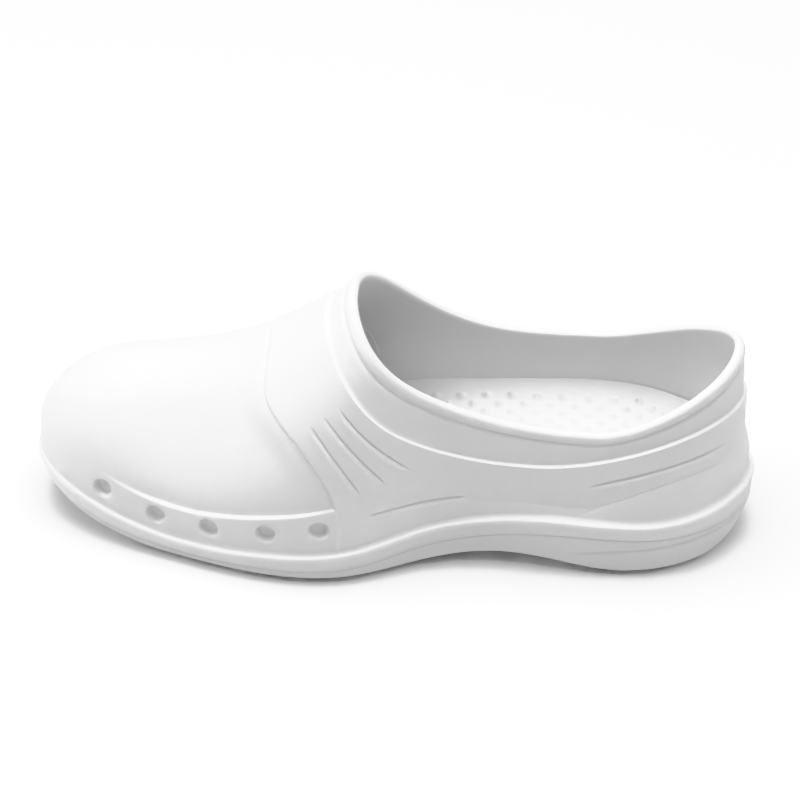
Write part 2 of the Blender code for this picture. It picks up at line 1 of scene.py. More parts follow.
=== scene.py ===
"""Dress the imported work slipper: fine moulded relief, white foam, pale floor, soft light.

Sizes are in millimetres in the shoe's own frame, as in the part's source: the heel's back
is at x 0 and the toe at x LENGTH, the wearer's left is +y. Heights are measured from the
sole's border; the lugs stand LUG_HEIGHT below it, on the floor. A turn is an angle that runs
along the shoe, from 0 at the heel's back to pi at the toe's tip. The angle of a section runs
up the wall, from 0 at the ledge to a right angle at the crown.
"""

import math
from collections import namedtuple

import bmesh
import bpy
import numpy as np
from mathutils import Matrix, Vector


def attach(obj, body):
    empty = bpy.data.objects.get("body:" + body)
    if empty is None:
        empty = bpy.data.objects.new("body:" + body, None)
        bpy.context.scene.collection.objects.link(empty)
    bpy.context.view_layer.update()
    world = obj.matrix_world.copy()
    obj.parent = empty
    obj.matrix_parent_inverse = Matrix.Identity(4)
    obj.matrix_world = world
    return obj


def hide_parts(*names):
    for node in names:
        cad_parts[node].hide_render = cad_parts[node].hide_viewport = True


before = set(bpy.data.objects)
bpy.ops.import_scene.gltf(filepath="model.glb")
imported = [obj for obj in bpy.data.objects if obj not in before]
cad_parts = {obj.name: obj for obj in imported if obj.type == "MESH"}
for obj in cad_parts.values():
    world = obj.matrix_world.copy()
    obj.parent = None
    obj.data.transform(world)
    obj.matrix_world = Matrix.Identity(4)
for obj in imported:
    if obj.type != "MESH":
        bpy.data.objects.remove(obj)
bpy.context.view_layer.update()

METRE = 0.001
MERGE = 0.00001
CROWN_ANGLE = math.pi / 2.0
TURN_STEP = 1e-4
TINY = 1e-6
SIDES = (1, -1)

# Main sizes, as in the part's source.
LENGTH = 285.0
WALL = 3.0
GAP = 0.3
LEDGE_LIP = 2.0
COUNTER_FLARE = 5.2
COUNTER_FADE = 3
HEEL_RADIUS = 27.8
TOE_RADIUS = 31.4

# The sections of the last. Place is a share of the length, half is half the width at the
# ledge and middle is how far the section's middle lies to the wearer's left. Ledge, seam,
# bed and crown are heights. Behind the throat the crown is where the walls would meet.
# Tuck is how far the tread's edge lies inside the ledge.
SECTION_COLUMNS = ("name", "place", "half", "middle", "ledge", "seam", "bed", "crown", "tuck")
SECTIONS = (
    ("back", 0.00, 0.0, 1.5, 25.0, 13.5, 22.0, 199.0, 3.2),
    ("heel", 0.14, 41.4, 2.5, 22.7, 15.3, 22.0, 122.6, 2.6),
    ("shank", 0.30, 41.3, 1.5, 22.8, 14.9, 23.0, 125.4, 2.2),
    ("waist", 0.46, 42.1, 3.5, 15.9, 7.4, 19.5, 121.3, 2.0),
    ("instep", 0.53, 47.8, 6.6, 12.8, 4.4, 16.7, 108.7, 1.9),
    ("ball", 0.64, 52.0, 5.8, 10.6, 3.3, 13.0, 84.4, 1.8),
    ("root", 0.79, 47.5, -0.3, 9.0, 2.6, 13.0, 65.5, 1.9),
    ("toe", 0.91, 36.3, -2.3, 15.6, 7.2, 15.0, 59.1, 2.8),
    ("tip", 1.00, 0.0, 0.0, 22.7, 14.4, 20.0, 31.3, 4.0),
)

# The border of the underside: two flats, and what rises between and beyond them. Lugs stand
# below it on the floor, set in from the border's edge.
HEEL_FLAT = (20.0, 48.0)
BALL_FLAT = (142.0, 230.0)
HEEL_ROLL = 7.0
ARCH_RISE = 4.2
TOE_SPRING = 11.0
ROLL_POWER = 1.6
LUG_HEIGHT = 2.4
LUG_SLOPE = 0.6

# Two edges that run round the foot opening: the collar itself and the line below it where
# the saddle begins. Front is where the edge crosses the crown, low_place and low where it
# is lowest, back its height at the heel.
EDGE_COLUMNS = (
    "name", "front", "low_place", "low", "back", "front_power", "back_power", "bow", "soft",
)
EDGES = (
    ("collar", 157.3, 64.0, 60.5, 81.1, 3.03, 1.00, 0.0, 0.25),
    ("saddle", 169.0, 93.0, 44.4, 60.0, 2.30, 1.60, 0.8, 0.08),
)
EDGE_SAMPLES = 600

# The rim's profile from the saddle's edge over the bead and down inside. Share is a share
# of the way from the collar to the saddle's edge, drop is millimetres below the collar on
# top of that, out is millimetres proud of the wall.
RIM_COLUMNS = ("name", "share", "drop", "out")
RIM = (
    ("saddle edge", 1.0, 0.0, 0.0),
    ("edge round", 1.0, -0.3, -0.1),
    ("step", 1.0, -0.55, -0.9),
    ("band foot", 1.0, -0.9, -1.6),
    ("band low", 0.8, 0.0, -1.45),
    ("band", 0.5, 1.5, -1.05),
    ("crease top", 0.0, 7.0, -0.65),
    ("crease", 0.0, 5.6, -1.0),
    ("bead low", 0.0, 5.0, -0.45),
    ("bead side", 0.0, 3.8, 0.15),
    ("bead shoulder", 0.0, 2.0, 0.25),
    ("bead brow", 0.0, 0.6, -0.3),
    ("bead top outer", 0.0, 0.1, -1.2),
    ("bead top inner", 0.0, 0.1, -2.2),
    ("bead inner shoulder", 0.0, 0.6, -3.1),
    ("bead inner side", 0.0, 1.6, -3.6),
    ("bead inner low", 0.0, 3.4, -3.7),
    ("inner band", 0.5, 0.0, -3.6),
    ("inner saddle", 1.0, 0.0, -WALL),
)
RIM_FINE = 2

# How far the collar is moved towards the medial side; the saddle's edge stays in its place.
COLLAR_SHIFT = 1.2

# Heights above the ledge of the line that tops the heel counter, then the vent band.
LOW_LINE_COLUMNS = ("place", "height")
LOW_LINE = (
    (0.0, 19.0),
    (6.5, 18.5),
    (23.0, 18.8),
    (39.0, 16.8),
    (54.0, 10.4),
    (63.5, 5.5),
    (74.0, 4.2),
    (110.0, 8.0),
    (161.0, 20.3),
    (177.0, 18.1),
    (197.0, 15.7),
    (217.0, 14.0),
    (240.0, 13.9),
    (255.0, 15.0),
    (285.0, 15.5),
)
LOW_LINE_STEP = 1.3

# The toe cap is sunk behind its edge and above the vent band, and level again at the tip. A low
# ridge closes the vent band's rear end.
TOE_CAP_RECESS = 0.6
CAP_FADE_START = 226.0
CAP_FADE_RUN = 34.0
BAND_END_RIDGE = 0.3
BAND_END_WIDTH = 1.1

# The toe cap rolls under at its line. Higher up, its lateral side slopes in more than the plain
# wall does. Below the line the vent band leans out over the ledge.
CAP_ROLL = 0.4
CAP_ROLL_REACH = 8.0
CAP_EASE = 4.0
CAP_EASE_RUN = 12.0
BAND_LEAN = 0.6
BAND_LEAN_RUN = 15.0

# All round, the foot of the wall rolls under towards the ledge. A fine crease runs along the
# toe cap's rear edge, at a share of the step there.
FOOT_ROLL = 0.6
FOOT_ROLL_REACH = 9.0
CAP_CREASE = 0.35
CAP_CREASE_AT = 0.8
CAP_CREASE_WIDTH = 0.35

# How far the back of the heel stands out of the plain wall at some heights, and how far the
# sole stands out below it.
SWELL_COLUMNS = ("height", "out")
SWELL = ((26.0, 0.0), (34.0, 1.6), (44.0, 2.0), (58.0, 1.9), (69.0, 1.2), (76.0, 0.0), (83.0, -1.6))
SWELL_FADE = 4
SOLE_SWELL = 1.0

# How far the toe stands out above the ledge at its tip, and how fast that fades.
TOE_SWELL = 1.0
TOE_SWELL_FADE = 8
TOE_SWELL_REACH = 30.0

# The foot of the wall: how far each ring lies inside the ledge and above it. The lip ring is
# the fullest one, counted from the seam. The outsole's top lies the seam's gap below the seam.
LEDGE_COLUMNS = ("inset", "rise")
LEDGE_PROFILE = (
    (0.45, -3.2),
    (0.08, -2.0),
    (0.08, -1.1),
    (0.4, -0.35),
    (1.0, 0.0),
    (1.6, 0.2),
)
LEDGE_FINE = 2
LIP_RING = 2
SEAM_TUCK = 1.8
SEAM_GAP = 0.15
WALL_FOOT = 1.5
INNER_FOOT = 2.4

# Rows of the mesh run from the ledge up the wall. Each row named here stands at a place on
# the ledge and ends at a place on the crown; the count is of rows from the one before.
ROW_COLUMNS = ("name", "foot", "head", "count")
ROWS = (
    ("saddle front", 146.0, 169.0, 150),
    ("saddle edge", 159.2, 190.2, 18),
    ("toe cap edge", 160.6, 191.6, 5),
    ("toe tip", LENGTH, LENGTH, 128),
)
Row = namedtuple("Row", ("foot", "head", "head_angle", "swept"))
FOOT_COLUMNS = 14
STEP_COLUMNS = 4
WALL_COLUMNS = 48
INNER_COLUMNS = 8
BED_STRIPS = 4
OUTLINE_SAMPLES = 2001

# Limits of the mesh, as shares of a row's angle or as angles: how high the low line may run, how
# far its columns stay apart, how low the inner wall starts, and from where both sides share a
# normal at the crown. The passes find where the slanted rows meet the low line.
LINE_TOP = 0.75
LINE_SPREAD = 0.02
LINE_PASSES = 4
INNER_LOW = 0.8
RIDGE_FROM = 0.85

# How the rows lean forward between the ledge and the crown, and the share of the opening
# from which they begin to.
SWEEP_START = 0.08
SWEEP_RUN = 0.62
SWEEP_FROM = 0.6

# Blind round vents along each side: section and height above the ledge. Each is a patch of
# rings in a block of the wall's mesh; the profile gives each ring's radius and depth and how
# far it is lifted, which makes the lower brink the rounder one.
VENT_COLUMNS = ("place", "height")
VENTS = ((167.3, 11.4), (188.4, 9.4), (211.5, 8.2), (233.2, 7.6), (255.2, 8.0))
VENT_PROFILE_COLUMNS = ("radius", "depth", "lift")
VENT_PROFILE = (
    (4.5, 0.0, 0.0),
    (4.3, 0.05, 0.02),
    (4.05, 0.28, 0.15),
    (3.85, 0.6, 0.35),
    (3.72, 1.0, 0.5),
    (3.65, 1.7, 0.56),
    (3.45, 2.4, 0.56),
    (3.0, 2.7, 0.56),
    (1.5, 2.7, 0.56),
)
VENT_BLOCK = 6.2

# Grooves pressed into the saddle: the places of head, middle and tail along the shoe and
# their heights. Each has a steep upper edge and a lower slope that rises into a low, long lip.
# The wall's mesh is cut finer within the refine reach of a groove's edge.
GROOVE_COLUMNS = ("name", "head", "middle", "tail", "depth", "slope")
GROOVES = (
    ("front claw", (171.2, 65.0), (160.9, 52.7), (150.6, 37.5), 1.0, 4.4),
    ("middle claw", (165.9, 68.7), (154.0, 55.8), (140.4, 39.5), 1.0, 4.4),
    ("rear claw", (159.7, 72.0), (147.4, 59.0), (131.9, 44.0), 1.0, 4.4),
    ("waist line", (149.6, 27.7), (129.4, 28.7), (110.4, 30.2), 1.0, 4.4),
    ("heel line", (67.4, 38.0), (37.7, 45.8), (6.8, 48.4), 1.1, 4.6),
    ("counter line", (71.7, 23.9), (37.5, 38.2), (7.3, 39.7), 0.45, 4.0),
)
GROOVE_BRINK = 0.4
GROOVE_END = 0.16
GROOVE_LIP_AT = 0.25
GROOVE_SAMPLES = 33
GROOVE_REACH = 4.7
REFINE_REACH = 0.9
REFINE_CUTS = 3

# The outsole's side and tread.
RIB_COLUMNS = ("place", "height")
HEEL_RIB = ((0.0, 11.0), (19.0, 11.6), (38.0, 11.0), (58.0, 9.3), (76.0, 6.4))
RIB_DEPTH = 0.6
RIB_WIDTH = 0.35
RIB_END = 76.0
RIB_FADE = 14.0
SOLE_COLUMNS = 26
TREAD_CHAMFER = 0.9
TREAD_BORDER = 12.0
BAR_OVERHANG = 1.5
CHANNEL_WIDTH = 4.0
CHANNEL_PITCH = 12.0
CHANNEL_COLUMNS = ("name", "start", "count", "depth")
CHANNELS = (
    ("ball channels", 150.0, 7, 2.2),
    ("heel channels", 28.0, 3, 2.2),
)

# The insole: thickness at its middle and how far its edge is cupped up, lateral and medial.
INSOLE_COLUMNS = ("place", "thick", "lateral_cup", "medial_cup")
INSOLE = (
    (0.00, 5.0, 6.0, 9.0),
    (0.14, 5.0, 6.5, 9.5),
    (0.30, 5.0, 6.0, 9.2),
    (0.46, 5.0, 4.0, 10.5),
    (0.64, 5.0, 1.5, 4.0),
    (0.79, 4.5, 0.8, 0.8),
    (1.00, 4.0, 0.5, 0.5),
)
INSOLE_CLEAR = 0.4
CUP_REACH = 30.0
INSOLE_ROWS = 420
INSOLE_STRIPS = 150

# The nubs on the insole: a staggered grid of low round domes that keeps off its edge.
NUB_PITCH = 10.2
NUB_ROW = 3.6
NUB_RADIUS = 2.2
NUB_HEIGHT = 1.5
NUB_MARGIN = 4.5

# Streaks that the mould leaves along the midsole: size, depth and how far below the ledge's lip.
STREAK_LENGTH = 90.0
STREAK_WIDTH = 0.9
STREAK_DEPTH = 0.2
STREAK_FROM = 1.2

# The three foams, and the surface that they share: a faint mottle of shade and gloss, fine grain
# and a soft unevenness called peel. Scales are for places in metres.
FOAM_COLUMNS = ("name", "grey", "roughness", "streaked")
FOAMS = (
    ("white_foam", 0.79, 0.5, True),
    ("white_sole", 0.77, 0.55, False),
    # The footbed's grey sits below the shell's as painted shade: it stands in for the dimmer light
    # inside the shoe.
    ("pale_footbed", 0.71, 0.6, False),
)
MOTTLE_SCALE = 60.0
MOTTLE_DETAIL = 3.0
MOTTLE_SHADE = 0.975
MOTTLE_GLOSS = 0.05
GRAIN_SCALE = 1900.0
GRAIN_STRENGTH = 0.35
GRAIN_DEPTH = 0.1
PEEL_SCALE = 260.0
PEEL_STRENGTH = 0.25
PEEL_DEPTH = 0.2
FINE_DETAIL = 2.0

# The camera: what it looks at, and how it was fitted to the photograph of 800 by 800.
CAMERA_TARGET = (139.97, 14.33, 45.09)
CAMERA_ELEVATION = 36.0
CAMERA_YAW = 4.18
CAMERA_DISTANCE = 1100.0
CAMERA_LENS = 127.2
CAMERA_SENSOR = 36.0
CAMERA_SHIFT = (0.0025, 0.03125)

# Studio light: a pale sky all round and soft boxes that face the shoe. Places and sizes of
# the boxes are in metres from the shoe's middle, powers in watts.
SKY_COLOUR = (1.0, 1.0, 1.0, 1.0)
SKY_STRENGTH = 0.03
BOX_COLUMNS = ("name", "place", "size", "power")
BOXES = (
    ("overhead", (0.0, 0.0, 1.5), 1.6, 26.8),
    ("toe side", (1.3, 0.0, 0.8), 1.0, 6.6),
    ("heel side", (-1.3, 0.2, 0.9), 1.0, 3.6),
    ("far side", (0.0, -1.0, 1.2), 1.0, 1.6),
)
FLOOR_SIZE = 8.0
FLOOR_DROP = 0.0002
FLOOR_COLOUR = (0.85, 0.85, 0.85, 1.0)
FLOOR_ROUGHNESS = 0.9
FLOOR_GLOSS = 0.1

# The camera's tone curve: how brightly each level of light is shown. Its shoulder keeps the
# tops of the white foam apart from the white floor. It is the curve that all colours share.
TONE_COLUMNS = ("light", "shown")
TONES = (
    (0.0, 0.0),
    (0.1, 0.06),
    (0.2, 0.25),
    (0.25, 0.33),
    (0.45, 0.5),
    (0.53, 0.62),
    (0.68, 0.895),
    (0.8, 0.948),
    (0.95, 1.0),
)
COMBINED_CURVE = 3


def column(table, names, name):
    """One named column of a table as an array."""
    return np.array([row[names.index(name)] for row in table])


def table_at(table, names, name, place):
    """A named column read off at a place; the table's first column is where its rows stand."""
    return np.interp(place, column(table, names, names[0]), column(table, names, name))


def named_rows(table, names):
    """The rows of a table as dictionaries keyed by its column names."""
    return [dict(zip(names, row)) for row in table]


def turn_at(x):
    """The turn of the section that stands at x along the shoe."""
    return np.arccos(np.clip(1.0 - 2.0 * np.asarray(x, float) / LENGTH, -1.0, 1.0))


def place_at(turn):
    """How far along the shoe the section at a turn stands."""
    return LENGTH * (1.0 - np.cos(turn)) / 2.0


def smooth(t):
    """An S-shaped rise from 0 to 1."""
    t = np.clip(t, 0.0, 1.0)
    return t * t * (3.0 - 2.0 * t)


def unit(vectors):
    """Vectors scaled to length 1."""
    return vectors / np.linalg.norm(vectors, axis=-1, keepdims=True)


def spline(knots, values, free_end=False):
    """A cubic spline through a few knots, level at both ends unless its end is free."""
    count = len(knots)
    gap = np.diff(knots)
    slope = np.diff(values) / gap
    slopes = np.concatenate([[0.0], slope, [0.0]])
    gaps = np.concatenate([[0.0], gap, [0.0]])
    matrix = np.diag(2.0 * (gaps[:-1] + gaps[1:])) + np.diag(gap, 1) + np.diag(gap, -1)
    right = 6.0 * np.diff(slopes)
    if free_end:
        matrix[-1] = np.eye(count)[-1]
        right[-1] = 0.0
    bend = np.linalg.solve(matrix, right)

    def curve(at):
        i = np.clip(np.searchsorted(knots, at) - 1, 0, count - 2)
        after = at - knots[i]
        before = knots[i + 1] - at
        cubic = (bend[i] * before ** 3 + bend[i + 1] * after ** 3) / (6.0 * gap[i])
        left = (values[i] / gap[i] - bend[i] * gap[i] / 6.0) * before
        return cubic + left + (values[i + 1] / gap[i] - bend[i + 1] * gap[i] / 6.0) * after

    return curve


SECTION_TURNS = turn_at(column(SECTIONS, SECTION_COLUMNS, "place") * LENGTH)


def along_sections(name, free_end=False):
    """A smooth curve over the turn through one column of the sections."""
    return spline(SECTION_TURNS, column(SECTIONS, SECTION_COLUMNS, name), free_end)


def fullness_curve():
    """Half width over the sine of the turn; at the ends the nose radius sets it."""
    half = column(SECTIONS, SECTION_COLUMNS, "half")
    fullness = np.empty(len(half))
    fullness[1:-1] = half[1:-1] / np.sin(SECTION_TURNS[1:-1])
    fullness[0] = math.sqrt(HEEL_RADIUS * LENGTH / 2.0)
    fullness[-1] = math.sqrt(TOE_RADIUS * LENGTH / 2.0)
    return spline(SECTION_TURNS, fullness)


fullness_at = fullness_curve()
middle_at = along_sections("middle")
ledge_at = along_sections("ledge")
seam_at = along_sections("seam")
bed_at = along_sections("bed")
crown_at = along_sections("crown", free_end=True)
tuck_at = along_sections("tuck")


def tread_at(x):
    """Height of the underside's border above its flats."""
    heel = np.clip((HEEL_FLAT[0] - x) / HEEL_FLAT[0], 0.0, 1.0) ** ROLL_POWER
    toe = np.clip((x - BALL_FLAT[1]) / (LENGTH - BALL_FLAT[1]), 0.0, 1.0) ** ROLL_POWER
    span = np.clip((x - HEEL_FLAT[1]) / (BALL_FLAT[0] - HEEL_FLAT[1]), 0.0, 1.0)
    return HEEL_ROLL * heel + TOE_SPRING * toe + ARCH_RISE * np.sin(math.pi * span) ** 2


def outline(side, turn, inset):
    """Plan of the ledge moved in along its own normal; side is +1 lateral, -1 medial."""

    def edge(at):
        return side * fullness_at(at) * np.sin(at) + middle_at(at)

    run_x = LENGTH / 2.0 * np.sin(turn)
    run_y = (edge(turn + TURN_STEP) - edge(turn - TURN_STEP)) / (2.0 * TURN_STEP)
    size = np.hypot(run_x, run_y)
    return place_at(turn) + inset * side * run_y / size, edge(turn) - inset * side * run_x / size


def heel_share(turn):
    """1 at the heel's back, falling to nothing by the waist."""
    return ((1.0 + np.cos(turn)) / 2.0) ** COUNTER_FADE


def heel_swell(turn, height):
    """How far the heel's back stands out at a height; next to nothing along the sides."""
    return table_at(SWELL, SWELL_COLUMNS, "out", height) * heel_share(turn) ** SWELL_FADE


def wall_base(side, turn, angle):
    """The plain wall: each section is a quarter ellipse from the ledge to the crown."""
    inset = LEDGE_LIP + COUNTER_FLARE * heel_share(turn)
    base_x, base_y = outline(side, turn, inset)
    crown_x = place_at(turn) + inset * np.cos(turn)
    middle = middle_at(turn)
    rise = crown_at(turn) - ledge_at(turn)
    x = crown_x + (base_x - crown_x) * np.cos(angle)
    y = middle + (base_y - middle) * np.cos(angle)
    z = ledge_at(turn) + rise * np.sin(angle)
    return np.stack([x, y, z], axis=-1)


def wall_normal(side, turn, angle):
    """Outward normal of the plain wall; near the crown it turns to the one both sides share."""
    along = wall_base(side, turn + TURN_STEP, angle) - wall_base(side, turn - TURN_STEP, angle)
    up = wall_base(side, turn, angle + TURN_STEP) - wall_base(side, turn, angle - TURN_STEP)
    normal = unit(side * np.cross(up, along))
    level = np.zeros(along.shape[:-1])
    ridge = unit(np.stack([-along[..., 2], level, along[..., 0]], axis=-1))
    share = smooth((angle / CROWN_ANGLE - RIDGE_FROM) / (1.0 - RIDGE_FROM))[..., None]
    return unit(normal + (ridge - normal) * share)


def angle_at(turn, height):
    """The section angle at which the wall reaches a height."""
    rise = crown_at(turn) - ledge_at(turn)
    return np.arcsin(np.clip((height - ledge_at(turn)) / rise, 0.0, 1.0))


def low_line_at(x):
    """Height above the ledge of the counter's top and of the vent band's top."""
    return table_at(LOW_LINE, LOW_LINE_COLUMNS, "height", x)


def sweep(share):
    """How the slanted rows lean forward as they climb."""
    return smooth((share - SWEEP_START) / SWEEP_RUN)


def edge_curve(edge_name):
    """Samples of an edge round the opening, heel to crown: length share, turn, angle."""
    edge = next(row for row in named_rows(EDGES, EDGE_COLUMNS) if row["name"] == edge_name)
    front_turn = turn_at(edge["front"])
    turns = front_turn * (1.0 - (1.0 - np.linspace(0.0, 1.0, EDGE_SAMPLES)) ** 2)
    x = place_at(turns)
    climb = np.clip((x - edge["low_place"]) / (edge["front"] - edge["low_place"]), 0.0, 1.0)
    drop = np.clip((edge["low_place"] - x) / edge["low_place"], 0.0, 1.0)
    heights = edge["low"] + (crown_at(front_turn) - edge["low"]) * climb ** edge["front_power"]
    soft = edge["soft"]
    drop = (np.hypot(drop, soft) - soft) / (math.hypot(1.0, soft) - soft)
    bowed = drop * (1.0 + edge["bow"] * (1.0 - drop))
    heights += (edge["back"] - edge["low"]) * bowed ** edge["back_power"]
    angles = angle_at(turns, np.minimum(heights, crown_at(turns)))
    angles[-1] = CROWN_ANGLE
    steps = np.linalg.norm(np.diff(wall_base(1, turns, angles), axis=0), axis=1)
    lengths = np.concatenate([[0.0], np.cumsum(steps)])
    return lengths / lengths[-1], turns, angles


def edge_at(samples, share):
    """Turn and angle of an edge a share of its length from the heel."""
    return np.interp(share, samples[0], samples[1]), np.interp(share, samples[0], samples[2])


COLLAR = edge_curve("collar")
SADDLE = edge_curve("saddle")
OPENING_ROWS = named_rows(ROWS, ROW_COLUMNS)[0]["count"]


def row_list():
    """The turns of each row's foot and head, its head's angle and how far it is swept."""
    front, *ahead = named_rows(ROWS, ROW_COLUMNS)
    foot, head = turn_at(front["foot"]), turn_at(front["head"])
    rows = []
    for share in np.linspace(0.0, 1.0, OPENING_ROWS + 1):
        head_turn, head_angle = edge_at(SADDLE, share)
        swept = smooth((share - SWEEP_FROM) / (1.0 - SWEEP_FROM))
        rows.append((head_turn * foot / head, head_turn, head_angle, swept))
    for stop in ahead:
        next_foot, next_head = turn_at(stop["foot"]), turn_at(stop["head"])
        for share in np.linspace(0.0, 1.0, stop["count"] + 1)[1:]:
            row_foot = foot + (next_foot - foot) * share
            row_head = head + (next_head - head) * share
            rows.append((row_foot, row_head, CROWN_ANGLE, 1.0))
        foot, head = next_foot, next_head
    return Row(*(np.array(values)[:, None] for values in zip(*rows)))


ALL_ROWS = row_list()


def on_row(row, angle):
    """The turn of a row at an angle; ahead of the opening rows sweep like the toe cap's edge."""
    share = angle / row.head_angle
    full = np.maximum(sweep(row.head_angle / CROWN_ANGLE), TINY)
    leaning = sweep(angle / CROWN_ANGLE) / full
    share = share + (leaning - share) * row.swept
    return row.foot + (row.head - row.foot) * share


def wall_grid(row):
    """Turn and angle of every point of the outer wall, a line of points for each row."""
    foot_angle = angle_at(row.foot, ledge_at(row.foot) + WALL_FOOT)
    highest = LINE_TOP * row.head_angle
    turn = row.foot
    for _ in range(LINE_PASSES):
        line = ledge_at(turn) + low_line_at(place_at(turn))
        below = np.minimum(angle_at(turn, line - LOW_LINE_STEP / 2.0), highest - 3.0 * LINE_SPREAD)
        above = np.minimum(angle_at(turn, line + LOW_LINE_STEP / 2.0), highest)
        below = np.maximum(below, foot_angle + LINE_SPREAD)
        above = np.maximum(above, foot_angle + 2.0 * LINE_SPREAD)
        turn = on_row(row, (below + above) / 2.0)
    angle = np.concatenate([
        np.linspace(foot_angle, below, FOOT_COLUMNS, endpoint=False)[..., 0],
        np.linspace(below, above, STEP_COLUMNS, endpoint=False)[..., 0],
        np.linspace(above, row.head_angle, WALL_COLUMNS + 1)[..., 0],
    ]).T
    return on_row(row, angle), angle


def on_parabola(points, share):
    """The points at some shares of the way along a parabola through three points."""
    share = np.asarray(share)[:, None]
    start = (1.0 - share) * (1.0 - 2.0 * share)
    middle = 4.0 * share * (1.0 - share)
    end = share * (2.0 * share - 1.0)
    return start * points[0] + middle * points[1] + end * points[2]


def groove_line(side, groove):
    """Points on the wall along a groove's upper edge."""
    ends = np.array([groove["head"], groove["middle"], groove["tail"]])
    places, heights = on_parabola(ends, np.linspace(0.0, 1.0, GROOVE_SAMPLES)).T
    turns = turn_at(places)
    return wall_base(side, turns, angle_at(turns, heights))


def beside(points, line):
    """Distance from a line, below zero under it, and the share of the way along."""
    gap = np.full(len(points), np.inf)
    share = np.zeros(len(points))
    above = np.ones(len(points))
    count = len(line) - 1
    for i in range(count):
        run = line[i + 1] - line[i]
        along = np.clip((points - line[i]) @ run / (run @ run), 0.0, 1.0)
        off = points - line[i] - along[:, None] * run
        size = np.linalg.norm(off, axis=1)
        nearer = size < gap
        gap = np.where(nearer, size, gap)
        share = np.where(nearer, (i + along) / count, share)
        above = np.where(nearer, np.sign(off[:, 2]), above)
    return gap * above, share


def groove_relief(side, points):
    """How deep the grooves lie at points of the wall, and which points are near one."""
    depth = np.zeros(len(points))
    near = np.zeros(len(points), bool)
    for groove in named_rows(GROOVES, GROOVE_COLUMNS):
        line = groove_line(side, groove)
        low, high = line.min(axis=0) - GROOVE_REACH, line.max(axis=0) + GROOVE_REACH
        close = np.flatnonzero(np.all((points > low) & (points < high), axis=1))
        gap, share = beside(points[close], line)
        swell = smooth(np.minimum(share, 1.0 - share) / GROOVE_END)
        brink = smooth((GROOVE_BRINK / 2.0 - gap) / GROOVE_BRINK)
        under = np.clip(-gap / groove["slope"], 0.0, 1.0)
        slope = (1.0 - under) ** 2 * (1.0 - under / GROOVE_LIP_AT)
        depth[close] += groove["depth"] * swell * brink * slope
        near[close] |= np.abs(gap) < REFINE_REACH
    return depth, near


def toe_swell(turn, height):
    """How far the toe stands out at a height above the ledge; next to nothing behind the toe."""
    low_down = np.clip(1.0 - height / TOE_SWELL_REACH, 0.0, 1.0)
    return TOE_SWELL * (place_at(turn) / LENGTH) ** TOE_SWELL_FADE * low_down


def cap_relief(side, turn, angle, height):
    """How far the wall stands out at the vent band, and in at the toe cap and its crease."""
    x = place_at(turn)
    line = low_line_at(x)
    saddle_edge, cap_edge = named_rows(ROWS, ROW_COLUMNS)[1:3]
    lean = sweep(angle / CROWN_ANGLE)
    behind, ahead = (
        turn_at(row["foot"]) + (turn_at(row["head"]) - turn_at(row["foot"])) * lean
        for row in (saddle_edge, cap_edge)
    )
    across_edge = (turn - behind) / (ahead - behind)
    from_end = (turn - ahead) * LENGTH / 2.0 * np.sin(turn)
    above_vents = smooth((height - line) / LOW_LINE_STEP + 0.5)
    before_tip = 1.0 - smooth((x - CAP_FADE_START) / CAP_FADE_RUN)
    ridge = BAND_END_RIDGE * (1.0 - above_vents) * np.exp(-(from_end / BAND_END_WIDTH) ** 2)
    band_run = smooth(from_end / BAND_LEAN_RUN) * before_tip * (1.0 - above_vents)
    lean_out = BAND_LEAN * band_run * np.clip(height / line, 0.0, 1.0) ** 2
    line_angle = angle_at(turn, ledge_at(turn) + line)
    above = np.clip((angle - line_angle) / (CROWN_ANGLE - line_angle), 0.0, 1.0)
    eased = CAP_EASE * np.sin(math.pi * above) ** 2 * (1.0 - above) * smooth(from_end / CAP_EASE_RUN)
    rolled = CAP_ROLL * np.clip(1.0 - (height - line) / CAP_ROLL_REACH, 0.0, 1.0) ** 2
    sunk = TOE_CAP_RECESS + rolled + np.where(side > 0, eased, 0.0)
    recess = sunk * smooth(across_edge) * above_vents * before_tip
    cap_crease = np.exp(-((across_edge - CAP_CREASE_AT) / CAP_CREASE_WIDTH) ** 2)
    return ridge + lean_out - recess - CAP_CREASE * above_vents * cap_crease


def relief(side, turn, angle):
    """How far each point of the wall stands out of the plain wall."""
    height = (crown_at(turn) - ledge_at(turn)) * np.sin(angle)
    below_line = np.clip(1.0 - height / low_line_at(place_at(turn)), 0.0, 1.0)
    flare = COUNTER_FLARE * heel_share(turn) * below_line
    swell = heel_swell(turn, ledge_at(turn) + height) + toe_swell(turn, height)
    roll = FOOT_ROLL * np.clip(1.0 - height / FOOT_ROLL_REACH, 0.0, 1.0) ** 2
    pressed = groove_relief(side, wall_base(side, turn, angle))[0]
    return flare + swell - roll - pressed + cap_relief(side, turn, angle, height)


def wall_point(side, turn, angle, out):
    """Points of the wall moved out along its normal."""
    out = np.broadcast_to(out, np.shape(turn))[..., None]
    return wall_base(side, turn, angle) + wall_normal(side, turn, angle) * out


def finer(points, steps):
    """A smooth curve through points, each stretch cut into steps; the last axis is x, y, z."""
    first = 2.0 * points[:1] - points[1:2]
    last = 2.0 * points[-1:] - points[-2:-1]
    p = np.concatenate([first, points, last])
    made = []
    for step in range(steps):
        t = step / steps
        made.append(0.5 * (
            2.0 * p[1:-2]
            + (p[2:-1] - p[:-3]) * t
            + (2.0 * p[:-3] - 5.0 * p[1:-2] + 4.0 * p[2:-1] - p[3:]) * t ** 2
            + (3.0 * p[1:-2] - p[:-3] - 3.0 * p[2:-1] + p[3:]) * t ** 3
        ))
    curve = np.stack(made, axis=1).reshape(-1, *points.shape[1:])
    return np.concatenate([curve, points[-1:]])


